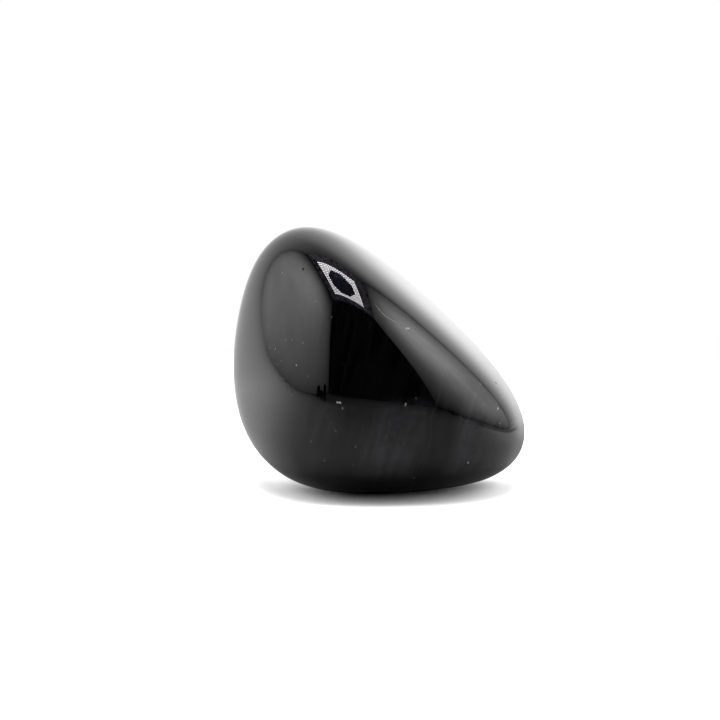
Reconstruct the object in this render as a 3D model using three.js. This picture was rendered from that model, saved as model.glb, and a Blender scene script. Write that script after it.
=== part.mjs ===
// A tumbled, polished obsidian stone, resting on its worn foot.
// Millimetres, +Z up. The origin is on the surface it rests on, under the middle of the stone.
// +X points at the low nose, -Y at the face with the tall polished front.
//
// The stone began as a broken chip with flat faces. Tumbling wore the edges and corners away
// until the faces ran into each other, so it is still described by the flats of that chip:
// each flat has a direction and a distance from the heart of the stone, and one number says
// how far the wear has rounded the edges between them.

import * as THREE from 'three';
import { mergeVertices } from 'three/addons/utils/BufferGeometryUtils.js';

// ---- driving dimensions, mm ----

// The heart of the stone, the point that its flats are measured from. The foot is 14.1 below it.
const HEART = new THREE.Vector3(-2.15, 2.85, 14.1);

// How sharply one worn flat turns into the next: 2 is an egg, 20 is still a cut block.
const EDGE_KEENNESS = 5;

// The flats of the chip. heading turns from the front (-Y) towards the nose (+X), rise is the
// angle above level, both in degrees, and reach is the distance from the heart to the flat.
const FLATS = [
  { name: 'tall front',        heading: -22,  rise: 6,   reach: 15.6 },
  { name: 'front, nose side',  heading: 26,   rise: 24,  reach: 14.6 },
  { name: 'front, flank side', heading: -68,  rise: 4,   reach: 11.6 },
  { name: 'front undercut',    heading: 10,   rise: -30, reach: 18.0 },
  { name: 'peak',              heading: 4,    rise: 72,  reach: 14.4 },
  { name: 'shoulder',          heading: -56,  rise: 36,  reach: 16.0 },
  { name: 'flank',             heading: -130, rise: 10,  reach: 15.4 },
  { name: 'flank undercut',    heading: -76,  rise: -46, reach: 17.0 },
  { name: 'long slope',        heading: 86,   rise: 48,  reach: 8.8 },
  { name: 'nose',              heading: 84,   rise: 6,   reach: 17.0 },
  { name: 'nose undercut',     heading: 60,   rise: -74, reach: 19.6 },
  { name: 'back',              heading: 170,  rise: 5,   reach: 8.6 },
  { name: 'back slope',        heading: 190,  rise: 45,  reach: 13.0 },
  { name: 'back undercut',     heading: 190,  rise: -35, reach: 11.6 },
  { name: 'underside',         heading: 0,    rise: -90, reach: 15.6 },
];

// Cuts along each edge of the icosahedron that the skin starts from. 15 leave triangles about
// 1 mm across.
const CUTS = 15;

// Corners of the starting ball closer than this are one corner. The ball's radius is 1.
const SAME_CORNER = 1e-5;

const OBSIDIAN = { color: '#0b0b0d', roughness: 0.05, metalness: 0.0 };

// ---- shape ----

// The outward direction of a flat, from its heading and rise.
function outward({ heading, rise }) {
  const turn = THREE.MathUtils.degToRad(heading);
  const tilt = THREE.MathUtils.degToRad(rise);
  return new THREE.Vector3(
    Math.sin(turn) * Math.cos(tilt),
    -Math.cos(turn) * Math.cos(tilt),
    Math.sin(tilt),
  );
}

const flats = FLATS.map((flat) => ({ outward: outward(flat), reach: flat.reach }));

// The distance from the heart to the worn surface along a direction. Every flat that faces
// that way wears the stone down a little; the nearest one has most of the say.
function wornRadius(direction) {
  let wear = 0;
  for (const flat of flats) {
    const facing = direction.dot(flat.outward) / flat.reach;
    wear += Math.max(0, facing) ** EDGE_KEENNESS;
  }
  return wear ** (-1 / EDGE_KEENNESS);
}

// The foot is a small true flat, so the radius also stops at the level the stone rests on.
function stoneRadius(direction) {
  const toFoot = direction.z < 0 ? HEART.z / -direction.z : Infinity;
  return Math.min(wornRadius(direction), toFoot);
}

// One closed skin: an even triangle mesh of a ball, each corner moved out to the stone.
function stoneGeometry() {
  const ball = new THREE.IcosahedronGeometry(1, CUTS);
  ball.deleteAttribute('normal');
  ball.deleteAttribute('uv');
  const skin = mergeVertices(ball, SAME_CORNER);
  const corners = skin.getAttribute('position');
  const corner = new THREE.Vector3();
  for (let i = 0; i < corners.count; i += 1) {
    corner.fromBufferAttribute(corners, i).normalize();
    corner.multiplyScalar(stoneRadius(corner)).add(HEART);
    corners.setXYZ(i, corner.x, corner.y, corner.z);
  }
  skin.computeVertexNormals();
  return skin;
}

// ---- the part ----

const stone = new THREE.Mesh(stoneGeometry(), new THREE.MeshStandardMaterial(OBSIDIAN));
stone.name = 'obsidian_stone';

const part = new THREE.Group();
part.add(stone);

export default part;
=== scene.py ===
import math
import random

import bmesh
import bpy
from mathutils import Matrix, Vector, kdtree, noise


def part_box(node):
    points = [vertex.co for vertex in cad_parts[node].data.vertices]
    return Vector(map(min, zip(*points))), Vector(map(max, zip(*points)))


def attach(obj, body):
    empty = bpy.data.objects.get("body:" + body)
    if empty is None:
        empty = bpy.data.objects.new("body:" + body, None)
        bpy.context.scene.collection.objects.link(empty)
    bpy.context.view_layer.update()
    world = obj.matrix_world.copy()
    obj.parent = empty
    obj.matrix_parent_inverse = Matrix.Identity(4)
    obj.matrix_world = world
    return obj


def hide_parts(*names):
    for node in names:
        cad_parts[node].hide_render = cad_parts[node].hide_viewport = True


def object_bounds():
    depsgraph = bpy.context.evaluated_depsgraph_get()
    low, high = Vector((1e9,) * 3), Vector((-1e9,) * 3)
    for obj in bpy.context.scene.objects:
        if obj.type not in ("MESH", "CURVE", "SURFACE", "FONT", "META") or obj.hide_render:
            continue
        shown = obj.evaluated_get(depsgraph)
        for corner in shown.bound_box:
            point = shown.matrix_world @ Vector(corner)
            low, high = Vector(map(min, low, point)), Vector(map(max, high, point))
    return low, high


# A tumbled, polished obsidian stone on a white sheet, inside a small light tent.
# Metres, +Z up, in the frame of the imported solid. The stone is black glass: nearly all that the
# eye gets from it is the tent, mirrored in its polish.

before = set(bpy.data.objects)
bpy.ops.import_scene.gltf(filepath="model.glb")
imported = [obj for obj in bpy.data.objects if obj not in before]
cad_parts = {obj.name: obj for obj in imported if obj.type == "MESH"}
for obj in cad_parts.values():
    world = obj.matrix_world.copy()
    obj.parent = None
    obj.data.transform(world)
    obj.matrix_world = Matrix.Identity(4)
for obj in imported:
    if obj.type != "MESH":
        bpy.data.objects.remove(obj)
cad_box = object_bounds()

MM = 0.001

# ---- the stone's shape ----

# The stone is worn down from the flats of the chip that it began as, as the solid is. heading
# turns from the front (-Y) towards the nose (+X), rise is the angle above level, both in
# degrees, and reach is the distance from the heart of the stone to the flat in millimetres.
HEART_HEIGHT = 14.1 * MM
EDGE_KEENNESS = 5
FLATS = (  # name, heading, rise, reach
    ("tall front", -22, 6, 15.6),
    ("front, nose side", 26, 24, 14.6),
    ("front, flank side", -68, 4, 11.6),
    ("front undercut", 10, -30, 18.0),
    ("peak", 4, 72, 14.4),
    ("shoulder", -56, 36, 16.0),
    ("flank", -130, 10, 15.4),
    ("flank undercut", -76, -46, 17.0),
    ("long slope", 86, 48, 8.8),
    ("nose", 84, 6, 17.0),
    ("nose undercut", 60, -74, 19.6),
    ("back", 170, 5, 8.6),
    ("back slope", 190, 45, 13.0),
    ("back undercut", 190, -35, 11.6),
    ("underside", 0, -90, 15.6),
)

# Cuts along each edge of the cube that the skin starts from: squares about 0.25 mm across. They
# are quartered this many times over at each pit.
SKIN_CUTS = 109
PIT_CUTS = 2
PIT_MARGIN = 1.5  # how far out that goes, in half widths of the pit

# Tumbling leaves the faces very slightly wavy.
WAVE_LENGTH = 4.0 * MM
WAVE_HEIGHT = 0.004 * MM

# The pits that show most: heading and rise as above, width and depth in millimetres, and how
# much pale polishing dust is left in the pit.
PITS = (
    (-35, 44, 0.26, 0.300, 0.0),
    (-53, 42, 0.28, 0.030, 0.2),
    (-50, 41, 0.18, 0.020, 0.1),
    (-21, 28, 0.24, 0.020, 0.1),
    (-24, 30, 0.18, 0.020, 0.1),
    (-37, 11, 0.18, 0.020, 0.2),
    (-32, 11, 0.18, 0.020, 0.2),
    (-25, 10, 0.20, 0.020, 0.2),
    (-51, 6, 0.18, 0.020, 0.1),
    (-45, 6, 0.20, 0.020, 0.2),
    (-42, 5, 0.18, 0.020, 0.1),
    (-55, 16, 0.18, 0.020, 0.1),
    (-28, 0, 0.24, 0.020, 0.3),
    (-39, 1, 0.16, 0.015, 0.1),
    (-21, -4, 0.18, 0.015, 0.1),
    (-12, 21, 0.16, 0.015, 0.1),
    (-8, -13, 0.24, 0.020, 0.6),
    (-7, -13, 0.24, 0.020, 0.6),
    (-6, -15, 0.20, 0.020, 0.3),
    (18, -13, 0.22, 0.020, 0.3),
    (22, -11, 0.18, 0.015, 0.1),
    (-30, -13, 0.18, 0.015, 0.1),
    (-64, -31, 0.20, 0.020, 0.2),
    (-20, -29, 0.20, 0.020, 0.1),
    (-15, -36, 0.20, 0.020, 0.1),
    (-1, -29, 0.20, 0.020, 0.1),
    (-2, -37, 0.16, 0.015, 0.1),
    (46, -33, 0.22, 0.020, 0.3),
    (58, -16, 0.22, 0.020, 0.8),
    (57, -20, 0.18, 0.015, 0.2),
    (52, -8, 0.20, 0.015, 0.1),
    (69, -10, 0.24, 0.100, 0.0),
    (22, 16, 0.34, 0.006, 0.5),
    (23, 16, 0.34, 0.006, 0.5),
)

# Finer pits are strewn over the whole stone but its foot. Most real ones are a few hundredths
# of a millimetre across, and these are drawn coarser so that they show.
FINE_PITS = 160
FINE_PIT_WIDTH = (0.10, 0.16)  # least and most, in millimetres
FINE_PIT_DEPTH = 0.010
FINE_PIT_DUST = (0.0, 0.08)
PITS_SEED = 7
FOOT_CAP = -0.8  # the height on a ball of radius 1 below which no pit is strewn
FROSTED_FROM = 0.008 * MM  # a dent deeper than this is rough all through
FOOT_EDGE = 0.02 * MM  # no waves this close above the foot's flat


def outward(heading, rise):
    """The unit direction with this heading and rise, in degrees."""
    turn, tilt = math.radians(heading), math.radians(rise)
    return Vector(
        (math.sin(turn) * math.cos(tilt), -math.cos(turn) * math.cos(tilt), math.sin(tilt))
    )


worn_flats = [(outward(heading, rise), reach * MM) for _, heading, rise, reach in FLATS]


def stone_radius(direction):
    """From the heart to the surface. The nearest flats wear the stone down most, and the foot
    is a true flat at the level that the stone rests on."""
    wear = 0.0
    for flat, reach in worn_flats:
        facing = direction.dot(flat)
        if facing > 0:
            wear += (facing / reach) ** EDGE_KEENNESS
    radius = wear ** (-1 / EDGE_KEENNESS)
    if direction.z < 0:
        radius = min(radius, HEART_HEIGHT / -direction.z)
    return radius


def all_pits():
    """The chosen pits and the strewn ones, as (direction, half width, depth, dust), metres."""
    pits = [
        (outward(heading, rise), width / 2 * MM, depth * MM, dust)
        for heading, rise, width, depth, dust in PITS
    ]
    strewn = random.Random(PITS_SEED)
    for _ in range(FINE_PITS):
        direction = Vector([strewn.gauss(0, 1) for _ in range(3)]).normalized()
        half_width = strewn.uniform(*FINE_PIT_WIDTH) / 2 * MM
        dust = strewn.uniform(*FINE_PIT_DUST)
        if direction.z > FOOT_CAP:
            pits.append((direction, half_width, FINE_PIT_DEPTH * MM, dust))
    return pits


def cut_finer(skin, pits):
    """Quarters the squares of the ball at and round each pit, several times over."""
    for _ in range(PIT_CUTS):
        centres = kdtree.KDTree(len(skin.faces))
        faces = list(skin.faces)
        for index, face in enumerate(faces):
            centres.insert(face.calc_center_median(), index)
        centres.balance()
        edges = set()
        for direction, half_width, _, _ in pits:
            spread = PIT_MARGIN * half_width / stone_radius(direction)
            for _, index, _ in centres.find_range(direction, spread):
                edges.update(faces[index].edges)
        bmesh.ops.subdivide_edges(skin, edges=list(edges), cuts=1, use_grid_fill=True)
        for vert in skin.verts:
            vert.co.normalize()


def stone_skin():
    """The stone's closed skin: a ball of squares, cut finer at the pits, each corner moved out
    to the worn surface. Returns the bmesh, round the heart. Each corner is marked with how rough
    it is and how dusty."""
    skin = bmesh.new()
    bmesh.ops.create_cube(skin, size=2)
    bmesh.ops.subdivide_edges(skin, edges=skin.edges[:], cuts=SKIN_CUTS, use_grid_fill=True)
    for vert in skin.verts:  # the tangent keeps the squares even over the ball
        vert.co = Vector([math.tan(part * math.pi / 4) for part in vert.co]).normalized()
    pits = all_pits()
    cut_finer(skin, pits)

    corners = kdtree.KDTree(len(skin.verts))
    skin.verts.ensure_lookup_table()
    for index, vert in enumerate(skin.verts):
        corners.insert(vert.co, index)
    corners.balance()
    dents = {}
    for direction, half_width, depth, dust in pits:
        reach = half_width / stone_radius(direction)
        for _, index, away in corners.find_range(direction, reach):
            bowl = (1 - (away / reach) ** 2) ** 2
            dents[index] = max(dents.get(index, (0.0, 0.0)), (depth * bowl, dust))

    frost = skin.verts.layers.float.new("frost")
    dustiness = skin.verts.layers.float.new("dust")
    for index, vert in enumerate(skin.verts):
        direction = vert.co.copy()
        radius = stone_radius(direction)
        dent, dust = dents.get(index, (0.0, 0.0))
        vert.co = direction * radius
        if dent == 0.0 and radius * -direction.z < HEART_HEIGHT - FOOT_EDGE:
            swell = noise.noise(vert.co / WAVE_LENGTH) * WAVE_HEIGHT
            vert.co += direction * swell
        vert.co -= direction * dent
        vert[frost] = min(1.0, dent / FROSTED_FROM)
        vert[dustiness] = vert[frost] * dust
    for face in skin.faces:
        face.smooth = True
    return skin


def make_stone():
    """Seats the skin in the CAD solid's box and stands it for the solid."""
    skin = stone_skin()
    low = Vector([min(vert.co[axis] for vert in skin.verts) for axis in range(3)])
    high = Vector([max(vert.co[axis] for vert in skin.verts) for axis in range(3)])
    cad_low, cad_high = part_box("obsidian_stone")
    for vert in skin.verts:
        for axis in range(3):
            share = (vert.co[axis] - low[axis]) / (high[axis] - low[axis])
            vert.co[axis] = cad_low[axis] + share * (cad_high[axis] - cad_low[axis])
    mesh = bpy.data.meshes.new("polished_stone")
    skin.to_mesh(mesh)
    skin.free()
    stone = bpy.data.objects.new("polished_stone", mesh)
    bpy.context.scene.collection.objects.link(stone)
    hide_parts("obsidian_stone")
    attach(stone, "root")
    return stone


# ---- materials ----

MATH = "ShaderNodeMath"
VECTOR_MATH = "ShaderNodeVectorMath"


def colour(hex_code):
    """A linear RGBA colour from an sRGB hex code such as '#0b0b0d'."""
    parts = [int(hex_code[i : i + 2], 16) / 255 for i in (1, 3, 5)]
    linear = [c / 12.92 if c <= 0.04045 else ((c + 0.055) / 1.055) ** 2.4 for c in parts]
    return (*linear, 1.0)


def add_node(tree, kind, inputs=(), **settings):
    """Adds a node. settings are its own properties. inputs gives its sockets, in order or by
    name, a value or a link. A whole node stands for the first socket that it gives out."""
    node = tree.nodes.new(kind)
    for name, value in settings.items():
        setattr(node, name, value)
    sockets = inputs if isinstance(inputs, dict) else dict(enumerate(inputs))
    for socket, value in sockets.items():
        if isinstance(value, bpy.types.Node):
            value = next(given for given in value.outputs if given.enabled)
        if isinstance(value, bpy.types.NodeSocket):
            tree.links.new(value, node.inputs[socket])
        else:
            node.inputs[socket].default_value = value
    return node


def new_material(name):
    """An empty node material: (material, its node tree)."""
    material = bpy.data.materials.new(name)
    material.use_nodes = True
    material.node_tree.nodes.clear()
    return material, material.node_tree


def in_metres(point):
    """A point in millimetres as one in metres."""
    return tuple(part * MM for part in point)


PATCH_FROM, PATCH_TO = 0.34, 0.66  # how strong noise is where a patch starts and is full


def mottle(tree, place, **settings):
    """Uneven patches, 0 to 1."""
    speckle = add_node(tree, "ShaderNodeTexNoise", {"Vector": place, "Detail": 3.0, **settings})
    return add_node(tree, "ShaderNodeMapRange", (speckle, PATCH_FROM, PATCH_TO))


def bell(tree, place, middle, spread):
    """A smooth hill of height 1 over middle, falling away to nothing within about twice spread."""
    away = add_node(
        tree,
        "ShaderNodeMapping",
        {"Vector": place, "Location": middle, "Scale": spread},
        vector_type="TEXTURE",
    )
    squared = add_node(tree, VECTOR_MATH, (away, away), operation="DOT_PRODUCT")
    negative = add_node(tree, MATH, (squared, -1.0), operation="MULTIPLY")
    return add_node(tree, MATH, (negative,), operation="EXPONENT")


# -- the glass --

# Smoky flow bands in the glass. They are flat sheets that stand nearly upright across the stone
# and lean towards the nose. Each stop is a distance in millimetres from the middle of the foot,
# measured square to the sheets, and how smoky the glass is there.
BAND_LEAN = math.radians(14.6)
BANDS = (
    (-14.0, 0.06),
    (-10.0, 0.10),
    (-7.5, 0.28),
    (-6.3, 0.18),
    (-4.3, 0.10),
    (-3.2, 0.22),
    (-1.9, 0.42),
    (0.6, 0.36),
    (1.9, 0.35),
    (2.7, 0.07),
    (4.6, 0.03),
    (5.3, 0.14),
    (6.0, 0.43),
    (6.5, 0.55),
    (7.7, 0.39),
    (10.0, 0.42),
    (14.0, 0.34),
)
BAND_WARP = 0.5  # how far the sheets wander, in millimetres
BAND_WARP_LENGTH = 5.0 * MM
# Painted shade: the smoke is kept out of the bottom of the stone, so the stone stays darker there,
# where its polish mirrors its own contact shadow.
FOOT_SHADE_HEIGHTS = (2.4, 3.2)  # the smoke starts between these heights, in millimetres
SMOKE_HEAD = (9.8, 11.4)  # and thins out between these
LOW_PALE_PATCH = (0.22, (0.6, -11.0, 5.4), (2.8, 9.0, 1.5))  # how much paler, middle, spread: a paler patch low on the front of the stone

# The smoke is drawn out into streaks along the sheets, and it is cloudy. Its grains are too fine
# to show in the render, so what is drawn is how they gather, this coarse.
STREAK_SIZE = (0.4, 3.0, 5.0)  # across, into and up the sheets, in millimetres
CLOUD_SIZE = 0.5 * MM
UNEVEN, EVEN = 0.7, 0.3  # how much of the smoke comes and goes, and how much stays
STREAK_SMOKE = 0.10  # what the streaks add, in the bands and outside them

# Two hairline sheets: distance as for the bands, and how smoky. Real ones are too thin to show
# in the render, so these are drawn as coarse as they need to show.
VEINS = ((2.9, 0.35), (6.6, 0.60))
VEIN_WIDTH = 0.12 * MM
VEIN_HEAD = (15.0, 18.0)

# One scratch, an arc of a circle round a point just above the surface, in millimetres. A real
# hairline is too fine to show in the render, so this one is drawn as coarse as it needs to show.
SCRATCH_CENTRE = (2.6, -7.9, 21.4)
SCRATCH_RADIUS = 3.4
SCRATCH_MIDDLE = (0.6, -9.3, 19.1)
SCRATCH_REACH = 1.9
SCRATCH_FADE = 0.4  # where it starts to fade, as a share of its reach
SCRATCH_WIDTH = 0.040
SCRATCH_DUST = 0.3

CLEAR_GLASS, SMOKY_GLASS, POLISHING_DUST = "#000000", "#1c1c1e", "#9a9a9c"
POLISH_ROUGHNESS = 0.02
FROST_ROUGHNESS = 0.5  # what a frosted pit or the scratch adds
OBSIDIAN_IOR = 1.49


def flow_bands(tree, place):
    """How smoky the glass is, 0 to 1. It is paler in a patch low on the front of the stone, and
    painted shade keeps the smoke off the bottom of the stone.
    """
    square_to_sheets = (math.cos(BAND_LEAN), 0.0, -math.sin(BAND_LEAN))
    across = add_node(tree, VECTOR_MATH, (place, square_to_sheets), operation="DOT_PRODUCT")
    wander = mottle(tree, place, Scale=1 / BAND_WARP_LENGTH, Detail=1.0)
    across = add_node(
        tree, MATH, (wander, BAND_WARP * MM, across.outputs["Value"]), operation="MULTIPLY_ADD"
    )
    middle = BAND_WARP / 2
    start, end = BANDS[0][0], BANDS[-1][0]
    along = add_node(
        tree, "ShaderNodeMapRange", (across, (start + middle) * MM, (end + middle) * MM)
    )
    ramp = add_node(tree, "ShaderNodeValToRGB", (along,))
    stops = ramp.color_ramp.elements
    while len(stops) < len(BANDS):
        stops.new(0.5)
    for stop, (distance, smoke) in zip(stops, BANDS):
        stop.position = (distance - start) / (end - start)
        stop.color = (smoke, smoke, smoke, 1.0)
    # A paler patch low on the front of the stone.
    thick, pool_middle, spread = LOW_PALE_PATCH
    pool = bell(tree, place, in_metres(pool_middle), in_metres(spread))
    smoke = add_node(tree, MATH, (pool, thick, ramp), operation="MULTIPLY_ADD")

    height = add_node(tree, "ShaderNodeSeparateXYZ", (place,)).outputs["Z"]
    above_foot_shade, below_head, below_vein_head = [
        add_node(tree, "ShaderNodeMapRange", (height, zero * MM, full * MM))
        for zero, full in (FOOT_SHADE_HEIGHTS, reversed(SMOKE_HEAD), reversed(VEIN_HEAD))
    ]
    # Painted shade: there is no smoke low on the stone, so its bottom stays dark.
    smoke = add_node(tree, MATH, (smoke, above_foot_shade), operation="MULTIPLY")
    smoke = add_node(tree, MATH, (smoke, below_head), operation="MULTIPLY")

    drawn_out = add_node(
        tree,
        "ShaderNodeMapping",
        {"Vector": place, "Rotation": (0.0, BAND_LEAN, 0.0), "Scale": in_metres(STREAK_SIZE)},
        vector_type="TEXTURE",
    )
    streaks = mottle(tree, drawn_out, Scale=1.0)
    clouds = mottle(tree, place, Scale=1 / CLOUD_SIZE)
    uneven = add_node(tree, MATH, (streaks, clouds), operation="ADD")
    uneven = add_node(tree, MATH, (uneven, UNEVEN, EVEN), operation="MULTIPLY_ADD")
    smoke = add_node(tree, MATH, (smoke, uneven), operation="MULTIPLY")
    smoke = add_node(tree, MATH, (streaks, STREAK_SMOKE, smoke), operation="MULTIPLY_ADD")

    for distance, thick in VEINS:
        off = add_node(tree, MATH, (across, (distance + middle) * MM), operation="SUBTRACT")
        off = add_node(tree, MATH, (off,), operation="ABSOLUTE")
        vein = add_node(tree, "ShaderNodeMapRange", (off, VEIN_WIDTH, 0.0))
        vein = add_node(tree, MATH, (vein, above_foot_shade), operation="MULTIPLY")
        vein = add_node(tree, MATH, (vein, below_vein_head), operation="MULTIPLY")
        smoke = add_node(tree, MATH, (vein, thick, smoke), operation="MULTIPLY_ADD")
    return smoke


def scratch(tree, place):
    """1 on the hairline scratch and 0 away from it."""
    from_centre, from_middle = [
        add_node(tree, VECTOR_MATH, (place, in_metres(point)), operation="DISTANCE")
        for point in (SCRATCH_CENTRE, SCRATCH_MIDDLE)
    ]
    off = add_node(tree, MATH, (from_centre, SCRATCH_RADIUS * MM), operation="SUBTRACT")
    off = add_node(tree, MATH, (off,), operation="ABSOLUTE")
    line = add_node(tree, "ShaderNodeMapRange", (off, SCRATCH_WIDTH * MM, 0.0))
    end, fade = SCRATCH_REACH * MM, SCRATCH_FADE * SCRATCH_REACH * MM
    within = add_node(tree, "ShaderNodeMapRange", (from_middle, end, fade))
    return add_node(tree, MATH, (line, within), operation="MULTIPLY")


def polished_obsidian():
    """Volcanic glass, tumbled to a mirror polish: black and opaque at this thickness, with the
    reflectance of glass, faint smoky flow bands, dusty pits and a hairline scratch. Painted shade
    keeps its bottom clear of smoke, and a paler patch lies low on its front."""
    material, tree = new_material("polished_obsidian")
    place = add_node(tree, "ShaderNodeTexCoord").outputs["Object"]
    glass = add_node(
        tree,
        "ShaderNodeMix",
        {
            "Factor": flow_bands(tree, place),
            "A": colour(CLEAR_GLASS),
            "B": colour(SMOKY_GLASS),
        },
        data_type="RGBA",
    )

    # Pits are rough inside, where the polish didn't reach, and some still hold dust.
    line = scratch(tree, place)
    frost = add_node(tree, "ShaderNodeAttribute", attribute_name="frost").outputs["Fac"]
    dust = add_node(tree, "ShaderNodeAttribute", attribute_name="dust").outputs["Fac"]
    line_dust = add_node(tree, MATH, (line, SCRATCH_DUST), operation="MULTIPLY")
    marked = add_node(tree, MATH, (dust, line_dust), operation="MAXIMUM")
    surface = add_node(
        tree,
        "ShaderNodeMix",
        {"Factor": marked, "A": glass, "B": colour(POLISHING_DUST)},
        data_type="RGBA",
    )
    rough = add_node(tree, MATH, (frost, line), operation="MAXIMUM")
    rough = add_node(
        tree, MATH, (rough, FROST_ROUGHNESS, POLISH_ROUGHNESS), operation="MULTIPLY_ADD"
    )
    shader = add_node(
        tree,
        "ShaderNodeBsdfPrincipled",
        {"Base Color": surface, "Roughness": rough, "IOR": OBSIDIAN_IOR},
    )
    add_node(tree, "ShaderNodeOutputMaterial", (shader,))
    return material


# -- the cloth, boards and paper of the studio --

STEEPNESS = (24, 24)  # of the hems along and up a cloth: they are about 10 mm wide
FOLD_WIDTH = 0.030
FOLD_DETAIL = {"Detail": 5.0, "Roughness": 0.65}
ROOM_CLUTTER = 0.010  # size of the things in the room, as the hole shows them
ROOM_CONTRAST, ROOM_LEAST = 2.0, 0.1  # how much the things differ, and the darkest of them
LAMP_TINT, ROOM_TINT = "#fffcff", "#cdd0ff"


def dim_hems(tree, share, first, second, steepness):
    """1 over the middle of a cloth, darkening softly to its two hems. first and second are how
    much is lost at either hem. The steeper, the narrower the hems."""
    far = add_node(tree, MATH, (1.0, share), operation="SUBTRACT")
    left = 1.0
    for from_hem, lost in ((far, first), (share, second)):
        dark = add_node(tree, MATH, (from_hem, steepness), operation="POWER")
        dark = add_node(tree, MATH, (dark, lost), operation="MULTIPLY")
        left = add_node(tree, MATH, (left, dark), operation="SUBTRACT")
    return left


def cloth_light(tree, corners, hems, lamps, folds, fold_width=FOLD_WIDTH, steepness=STEEPNESS):
    """How bright a lit cloth is. corners are the brightness without a lamp at (start, bottom),
    (end, bottom), (start, top) and (end, top). hems is what is lost at the start, end, bottom
    and top. Each lamp adds (brightness, middle, spread). folds is how uneven the cloth is."""
    place = add_node(tree, "ShaderNodeTexCoord").outputs["Object"]
    shares = add_node(tree, "ShaderNodeTexCoord").outputs["UV"]
    along, up = add_node(tree, "ShaderNodeSeparateXYZ", (shares,)).outputs[:2]
    bottom, top = [
        add_node(tree, "ShaderNodeMix", {"Factor": along, "A": start, "B": end})
        for start, end in (corners[:2], corners[2:])
    ]
    total = add_node(tree, "ShaderNodeMix", {"Factor": up, "A": bottom, "B": top})
    for brightness, middle, spread in lamps:
        lamp = bell(tree, place, middle, spread)
        total = add_node(tree, MATH, (lamp, brightness, total), operation="MULTIPLY_ADD")
    for dimmed in (
        dim_hems(tree, along, hems[0], hems[1], steepness[0]),
        dim_hems(tree, up, hems[2], hems[3], steepness[1]),
    ):
        total = add_node(tree, MATH, (total, dimmed), operation="MULTIPLY")
    crease = add_node(
        tree, "ShaderNodeTexNoise", {"Vector": place, "Scale": 1 / fold_width, **FOLD_DETAIL}
    )
    uneven = add_node(tree, MATH, (crease, 2 * folds, 1 - folds), operation="MULTIPLY_ADD")
    uneven = add_node(tree, MATH, (uneven, 0.0), operation="MAXIMUM")
    return add_node(tree, MATH, (total, uneven), operation="MULTIPLY")


def lit_cloth(name, tint="#ffffff", **light):
    """White tent cloth with a lamp behind it: brightest in front of the lamp, dim at its hems,
    and slightly uneven where it hangs in folds."""
    material, tree = new_material(name)
    glowing = add_node(tree, "ShaderNodeEmission", (colour(tint), cloth_light(tree, **light)))
    add_node(tree, "ShaderNodeOutputMaterial", (glowing,))
    return material


def lamp_board(name, across, up, bead_share, bead, board, hole, hole_reach, room, blinks):
    """A white circuit board set with rows of small lamps round an eight-sided shooting hole.
    The lamps are spots on a square grid, across by up of them, each as wide as bead_share of its
    square. bead and board are how bright they and the board between them are. Through the hole
    is the room, with a few things in it that catch the light: (brightness, middle, spread)."""
    material, tree = new_material(name)
    place = add_node(tree, "ShaderNodeTexCoord").outputs["Object"]
    shares = add_node(tree, "ShaderNodeTexCoord").outputs["UV"]
    cell = add_node(tree, VECTOR_MATH, (shares, (across, up, 0)), operation="MULTIPLY")
    cell = add_node(tree, VECTOR_MATH, (cell,), operation="FRACTION")
    from_bead = add_node(tree, VECTOR_MATH, (cell, (0.5, 0.5, 0.0)), operation="DISTANCE")
    on_bead = add_node(tree, MATH, (from_bead, bead_share / 2), operation="LESS_THAN")
    shine = add_node(tree, "ShaderNodeMix", {"Factor": on_bead, "A": board, "B": bead})
    lamps = add_node(tree, "ShaderNodeEmission", (colour(LAMP_TINT), shine))

    seen = room
    for brightness, middle, spread in blinks:
        blink = bell(tree, place, middle, spread)
        seen = add_node(tree, MATH, (blink, brightness, seen), operation="MULTIPLY_ADD")
    clutter = mottle(tree, place, Scale=1 / ROOM_CLUTTER, Roughness=0.7)
    clutter = add_node(
        tree, MATH, (clutter, ROOM_CONTRAST, ROOM_LEAST), operation="MULTIPLY_ADD"
    )
    seen = add_node(tree, MATH, (seen, clutter), operation="MULTIPLY")
    through = add_node(tree, "ShaderNodeEmission", (colour(ROOM_TINT), seen))

    # The hole is a square with its corners cut off by a square stood on its corner.
    off = add_node(tree, VECTOR_MATH, (place, hole), operation="SUBTRACT")
    off = add_node(tree, VECTOR_MATH, (off,), operation="ABSOLUTE")
    off_x, off_y = add_node(tree, "ShaderNodeSeparateXYZ", (off,)).outputs[:2]
    to_side = add_node(tree, MATH, (off_x, off_y), operation="MAXIMUM")
    to_corner = add_node(tree, MATH, (off_x, off_y), operation="ADD")
    to_corner = add_node(tree, MATH, (to_corner, math.sqrt(0.5)), operation="MULTIPLY")
    off = add_node(tree, MATH, (to_side, to_corner), operation="MAXIMUM")
    on_board = add_node(tree, MATH, (off, hole_reach), operation="GREATER_THAN")
    both = add_node(tree, "ShaderNodeMixShader", (on_board, through, lamps))
    add_node(tree, "ShaderNodeOutputMaterial", (both,))
    return material


def matt(name, shade):
    """A matt surface of one shade, with no gloss."""
    material, tree = new_material(name)
    surface = add_node(tree, "ShaderNodeBsdfDiffuse", (colour(shade),))
    add_node(tree, "ShaderNodeOutputMaterial", (surface,))
    return material


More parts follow.
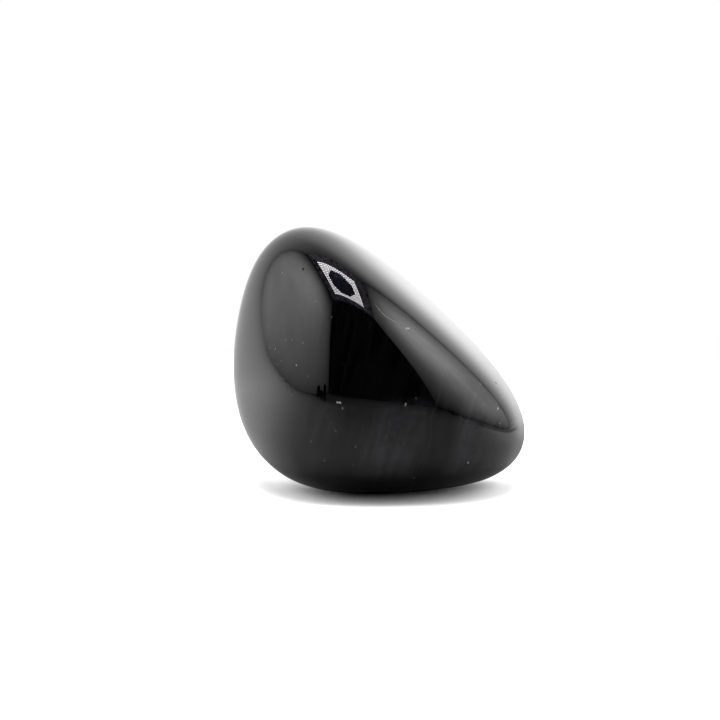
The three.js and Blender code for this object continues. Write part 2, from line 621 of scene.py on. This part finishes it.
def curled_paper(name, shade, pools, turns_to_glow, **light):
    """Matt white paper as the polish mirrors it, curling up in front of the back lamp. Its colour
    holds painted light and shade: it is the dark grey shade all over, paler in each painted pool
    of light, and darker in each painted shadow, a pool whose first number is below zero: (how much
    paler, middle, spread). Painted shade also darkens it towards the walls. Towards the back,
    between the two distances in turns_to_glow, it turns into lit cloth."""
    material, tree = new_material(name)
    place = add_node(tree, "ShaderNodeTexCoord").outputs["Object"]
    total = shade
    for paler, middle, spread in pools:
        pool = bell(tree, place, middle, spread)
        total = add_node(tree, MATH, (pool, paler, total), operation="MULTIPLY_ADD")
    shares = add_node(tree, "ShaderNodeTexCoord").outputs["UV"]
    along = add_node(tree, "ShaderNodeSeparateXYZ", (shares,)).outputs["X"]
    # Painted shade: the paper darkens towards the walls at either side.
    start, end = light["hems"][:2]
    dimmed = dim_hems(tree, along, start, end, light["steepness"][0])
    total = add_node(tree, MATH, (total, dimmed), operation="MULTIPLY")
    grey = add_node(tree, "ShaderNodeCombineXYZ", (total, total, total))
    surface = add_node(tree, "ShaderNodeBsdfDiffuse", (grey,))
    glowing = add_node(
        tree, "ShaderNodeEmission", (colour("#ffffff"), cloth_light(tree, **light))
    )
    depth = add_node(tree, "ShaderNodeSeparateXYZ", (place,)).outputs["Y"]
    share = add_node(tree, "ShaderNodeMapRange", (depth, *turns_to_glow))
    both = add_node(tree, "ShaderNodeMixShader", (share, surface, glowing))
    add_node(tree, "ShaderNodeOutputMaterial", (both,))
    return material


def glow(name, strength):
    """An even white glow."""
    material, tree = new_material(name)
    glowing = add_node(tree, "ShaderNodeEmission", (colour("#ffffff"), strength))
    add_node(tree, "ShaderNodeOutputMaterial", (glowing,))
    return material


# ---- the studio ----

# The tent's walls, in metres from the middle of the stone's foot. Its front is open.
TENT_LEFT, TENT_RIGHT = -0.155, 0.140
TENT_FRONT, TENT_BACK = -0.168, 0.124
TENT_TOP = 0.300
PAPER_CURVE = 0.035  # the radius that the paper turns up the back with
FLOOR_SHARE, WALL_SHARE = 0.45, 0.55  # where its curve starts and ends, as shares of its length
SEAM = 0.0025  # the dark gap between the right wall and the back

# The paper lies level between these, and curls up off it towards either wall. Its rise at a wall
# is the first number at the tent's front, and changes by the second towards the back.
LEVEL_LEFT, LEVEL_RIGHT = -0.060, 0.050
CURL_LEFT = (0.001, 0.012)
CURL_RIGHT = (0.006, -0.013)

WALL_CUTS, PAPER_CUTS = 40, 80  # rows of squares in a wall and in the paper

# The lamp board hangs under the tent's top, round a hole to shoot through.
BOARD_CORNERS = (  # front left, front right, back left, back right
    Vector((-0.0985, -0.121, 0.298)),
    Vector((0.0960, -0.128, 0.298)),
    Vector((-0.1110, 0.075, 0.298)),
    Vector((0.0880, 0.054, 0.298)),
)
HOLE_MIDDLE = Vector((-0.007, -0.034, 0.298))
HOLE_REACH = 0.070

# Dark clips stand on the paper and hold the cloth to it: middle, (half width, half depth,
# half height).
CLIPS = (
    ((-0.121, -0.081, 0.0065), (0.003, 0.0085, 0.0065)),
    ((-0.077, -0.073, 0.0075), (0.003, 0.0050, 0.0075)),
    ((-0.097, -0.077, 0.0050), (0.002, 0.0060, 0.0040)),
    ((0.110, -0.090, 0.0030), (0.008, 0.0050, 0.0060)),
    ((0.100, -0.057, 0.0020), (0.010, 0.0050, 0.0045)),
)

# Lamps that light the sheet through the cloth: name, middle, how high above the stone's foot
# they aim, side, and how bright they look. The polish mirrors the cloth itself and not these.
LAMPS = (
    ("lamp_left", (TENT_LEFT, 0.002, 0.134), 0.134, 0.230, 4.0),
    ("lamp_right", (TENT_RIGHT, 0.002, 0.134), 0.134, 0.230, 4.65),
    ("lamp_back", (0.0, TENT_BACK, 0.150), 0.150, 0.290, 1.6),
    ("lamp_top", (-0.008, -0.0365, 0.298), 0.0, 0.189, 11.5),
)

SHEET_RADIUS = 0.120
SHEET_DROP = 0.02 * MM  # how far the sheet lies below the foot, so that the two don't touch
BACKDROP_RADIUS = 0.9
ROOM_GLOW = 0.006


def staged(name, bm, material, **seen_by):
    """Makes a stage object of a bmesh, and says which rays see it."""
    mesh = bpy.data.meshes.new(name)
    bm.to_mesh(mesh)
    bm.free()
    mesh.materials.append(material)
    thing = bpy.data.objects.new(name, mesh)
    bpy.context.scene.collection.objects.link(thing)
    for ray, seen in seen_by.items():
        setattr(thing, f"visible_{ray}", seen)


def paper_rise(x, y):
    """How far the paper curls up off the level near the tent's walls, in metres."""
    back = (y - TENT_FRONT) / (TENT_BACK - TENT_FRONT)
    if x < LEVEL_LEFT:
        to_wall = (x - LEVEL_LEFT) / (TENT_LEFT - LEVEL_LEFT)
        return to_wall**2 * (CURL_LEFT[0] + CURL_LEFT[1] * back * back)
    if x > LEVEL_RIGHT:
        to_wall = (x - LEVEL_RIGHT) / (TENT_RIGHT - LEVEL_RIGHT)
        return to_wall**2 * (CURL_RIGHT[0] + CURL_RIGHT[1] * back)
    return 0.0


def sheet(place, cuts=1):
    """A sheet as a bmesh: place turns its shares across and up, 0 to 1, into a point. The two
    shares are its UV map too."""
    bm = bmesh.new()
    bm.loops.layers.uv.new("UVMap")
    bmesh.ops.create_grid(bm, x_segments=cuts, y_segments=cuts, size=0.5, calc_uvs=True)
    for vert in bm.verts:
        vert.co = Vector(place(vert.co.x + 0.5, vert.co.y + 0.5))
    return bm


def between(first, second, share):
    """The number that is this share of the way from the first to the second."""
    return first + (second - first) * share


def left_wall(along, up):
    y = between(TENT_FRONT, TENT_BACK, along)
    return TENT_LEFT, y, between(paper_rise(TENT_LEFT, y), TENT_TOP, up)


def right_wall(along, up):
    y = between(TENT_FRONT, TENT_BACK - SEAM, along)
    return TENT_RIGHT, y, between(paper_rise(TENT_RIGHT, y), TENT_TOP, up)


def tent_top(along, up):
    return between(TENT_LEFT, TENT_RIGHT, along), between(TENT_FRONT, TENT_BACK, up), TENT_TOP


def paper_sweep(along, up):
    """The paper runs back along the floor, curves, and runs up the tent's back."""
    x = between(TENT_LEFT, TENT_RIGHT, along)
    floor_end = TENT_BACK - PAPER_CURVE
    if up < FLOOR_SHARE:
        y = between(TENT_FRONT, floor_end, up / FLOOR_SHARE)
        return x, y, paper_rise(x, y)
    foot = paper_rise(x, floor_end)
    if up > WALL_SHARE:
        share = (up - WALL_SHARE) / (1 - WALL_SHARE)
        return x, TENT_BACK, between(foot + PAPER_CURVE, TENT_TOP, share)
    turn = (up - FLOOR_SHARE) / (WALL_SHARE - FLOOR_SHARE) * math.pi / 2
    out, rise = math.sin(turn) * PAPER_CURVE, (1 - math.cos(turn)) * PAPER_CURVE
    return x, floor_end + out, foot + rise


def board_plane(along, up):
    front_left, front_right, back_left, back_right = BOARD_CORNERS
    return front_left.lerp(front_right, along).lerp(back_left.lerp(back_right, along), up)


def make_tent():
    """Lit walls, a dim top, the lamp board, the paper and the clips. Only the polish sees
    them."""
    things = (
        (
            "tent_left",
            sheet(left_wall, cuts=WALL_CUTS),
            lit_cloth(
                "lit_cloth_left",
                corners=(0.45, 1.25, 0.0, 0.0),
                hems=(0.6, 0.55, 0.60, 0.9),
                steepness=(24, 22),
                lamps=((2.30, (TENT_LEFT, -0.016, 0.142), (1, 0.105, 0.091)),),
                folds=0.18,
            ),
        ),
        (
            "tent_right",
            sheet(right_wall, cuts=WALL_CUTS),
            lit_cloth(
                "lit_cloth_right",
                corners=(0.13, 1.10, 0.95, 0.22),
                hems=(0.15, 0.4, 1.0, 0.6),
                steepness=(24, 18),
                lamps=(
                    (3.60, (TENT_RIGHT, -0.008, 0.139), (1, 0.081, 0.084)),
                    (-0.35, (TENT_RIGHT, TENT_FRONT, 0.255), (1, 0.045, 0.060)),
                    (0.40, (TENT_RIGHT, 0.030, 0.036), (1, 0.045, 0.018)),
                ),
                folds=0.28,
            ),
        ),
        (
            # The top has no lamp behind it: its dim glow is painted light, the tent's own light on
            # the cloth.
            "tent_top",
            sheet(tent_top),
            lit_cloth(
                "dim_cloth",
                tint="#eae2ff",
                corners=(0.33, 0.55, 0.50, 0.28),
                hems=(0.9, 0.7, 0.8, 0.2),
                lamps=(),
                folds=3.6,
                fold_width=0.018,
            ),
        ),
        (
            "lamp_board",
            sheet(board_plane),
            lamp_board(
                "lamp_board",
                across=20,
                up=18,
                bead_share=0.56,
                bead=36.0,
                board=1.5,
                hole=HOLE_MIDDLE,
                hole_reach=HOLE_REACH,
                room=0.14,
                blinks=(
                    (0.9, (-0.020, 0.003, 0.298), (0.008, 0.006, 1)),
                    (0.4, (-0.042, -0.022, 0.298), (0.008, 0.006, 1)),
                    (0.2, (0.010, 0.020, 0.298), (0.060, 0.020, 1)),
                ),
            ),
        ),
        (
            "paper_in_the_polish",
            sheet(paper_sweep, cuts=PAPER_CUTS),
            curled_paper(
                "white_paper_in_the_polish",
                shade=0.037,
                # Painted pools of light. Each one whose first number is below zero is a painted
                # shadow: the clips' at the front left, and the stone's behind it, in front of it
                # and at its foot.
                pools=(
                    (0.46, (-0.150, 0.072, 0.0), (0.230, 0.125, 1)),
                    (0.17, (0.088, 0.000, 0.0), (0.065, 0.015, 1)),
                    (0.10, (0.075, 0.045, 0.0), (0.012, 0.045, 1)),
                    (-0.10, (-0.125, -0.085, 0.0), (0.095, 0.018, 1)),
                    (-0.23, (0.008, 0.029, 0.0), (0.019, 0.040, 1)),
                    (-0.07, (-0.007, -0.043, 0.0), (0.040, 0.025, 1)),
                    (-0.09, (-0.003, -0.006, 0.0), (0.011, 0.003, 1)),
                ),
                turns_to_glow=(0.060, 0.110),
                corners=(1.97, 0.30, 0.34, 0.29),
                hems=(0.5, 0.4, 0.0, 0.1),
                steepness=(16, 24),
                lamps=(
                    (0.94, (0.087, TENT_BACK, 0.112), (0.132, 1, 0.085)),
                    (1.00, (0.038, TENT_BACK, 0.041), (0.046, 1, 0.043)),
                    (0.12, (-0.020, TENT_BACK, 0.160), (0.060, 1, 0.035)),
                ),
                folds=0.06,
            ),
        ),
    )
    for name, shape, material in things:
        staged(name, shape, material, camera=False, diffuse=False, shadow=False)
    # Black plastic: matt and nearly black, so a clip is a dark spot at the foot of a wall.
    black = matt("black_plastic", "#0a0a0a")
    for middle, half in CLIPS:
        clip = bmesh.new()
        bmesh.ops.create_uvsphere(clip, u_segments=16, v_segments=10, radius=1)
        bmesh.ops.scale(clip, vec=half, verts=clip.verts[:])
        bmesh.ops.translate(clip, vec=middle, verts=clip.verts[:])
        staged("clip", clip, black, camera=False, diffuse=False, shadow=False)


def make_lamps():
    """Flat square lamps that face the middle of the tent."""
    for name, middle, aim, side, brightness in LAMPS:
        data = bpy.data.lights.new(name, "AREA")
        data.shape = "SQUARE"
        data.size = side
        data.energy = brightness * math.pi * side * side
        lamp = bpy.data.objects.new(name, data)
        lamp.location = middle
        inward = Vector((0, 0, aim)) - Vector(middle)
        lamp.rotation_mode = "QUATERNION"
        lamp.rotation_quaternion = inward.to_track_quat("-Z", "Y")
        lamp.visible_camera = False
        lamp.visible_glossy = False
        bpy.context.scene.collection.objects.link(lamp)


def make_room():
    """The white sheet and backdrop that the camera sees, and the dim room that the polish
    sees past the tent's open front."""
    disc = bmesh.new()
    bmesh.ops.create_circle(disc, cap_ends=True, segments=96, radius=SHEET_RADIUS)
    bmesh.ops.translate(disc, verts=disc.verts[:], vec=(0, 0, -SHEET_DROP))
    # White paper: matt and nearly white, so all that shows on it is the stone's soft shadow.
    white = matt("white_paper", "#f6f6f6")
    staged("sheet", disc, white, glossy=False, shadow=False)
    dome = bmesh.new()
    bmesh.ops.create_uvsphere(dome, u_segments=48, v_segments=24, radius=BACKDROP_RADIUS)
    # White backdrop: it glows evenly, so it is plain white from every side.
    white = glow("white_backdrop", 1.0)
    staged("backdrop", dome, white, diffuse=False, glossy=False, shadow=False)
    world = bpy.data.worlds.new("dim_room")
    world.use_nodes = True
    background = world.node_tree.nodes["Background"]
    background.inputs["Color"].default_value = colour("#ffffff")
    background.inputs["Strength"].default_value = ROOM_GLOW
    bpy.context.scene.world = world


# ---- the camera ----

CAMERA_RISE = 7.0  # degrees above level
CAMERA_DISTANCE = 0.300
FIELD = 0.0741  # the width that the frame takes in at the stone
SENSOR = 36.0
NEAREST = 0.010  # what is nearer the camera than this isn't drawn
AIM = Vector((-1.95, 1.78, -0.15)) * MM  # from the middle of the stone's box


def make_camera():
    """A long lens in front of the stone, a little above it."""
    rise = math.radians(CAMERA_RISE)
    target = (cad_box[0] + cad_box[1]) / 2 + AIM
    back = Vector((0, -math.cos(rise), math.sin(rise)))
    data = bpy.data.cameras.new("camera")
    data.sensor_width = SENSOR
    data.lens = SENSOR * CAMERA_DISTANCE / FIELD
    data.clip_start = NEAREST
    camera = bpy.data.objects.new("camera", data)
    camera.location = target + back * CAMERA_DISTANCE
    camera.rotation_mode = "QUATERNION"
    camera.rotation_quaternion = (-back).to_track_quat("-Z", "Y")
    bpy.context.scene.collection.objects.link(camera)
    bpy.context.scene.camera = camera


make_camera()
stone = make_stone()
stone.data.materials.append(polished_obsidian())
make_tent()
make_lamps()
make_room()
bpy.context.scene.view_settings.view_transform = "Standard"
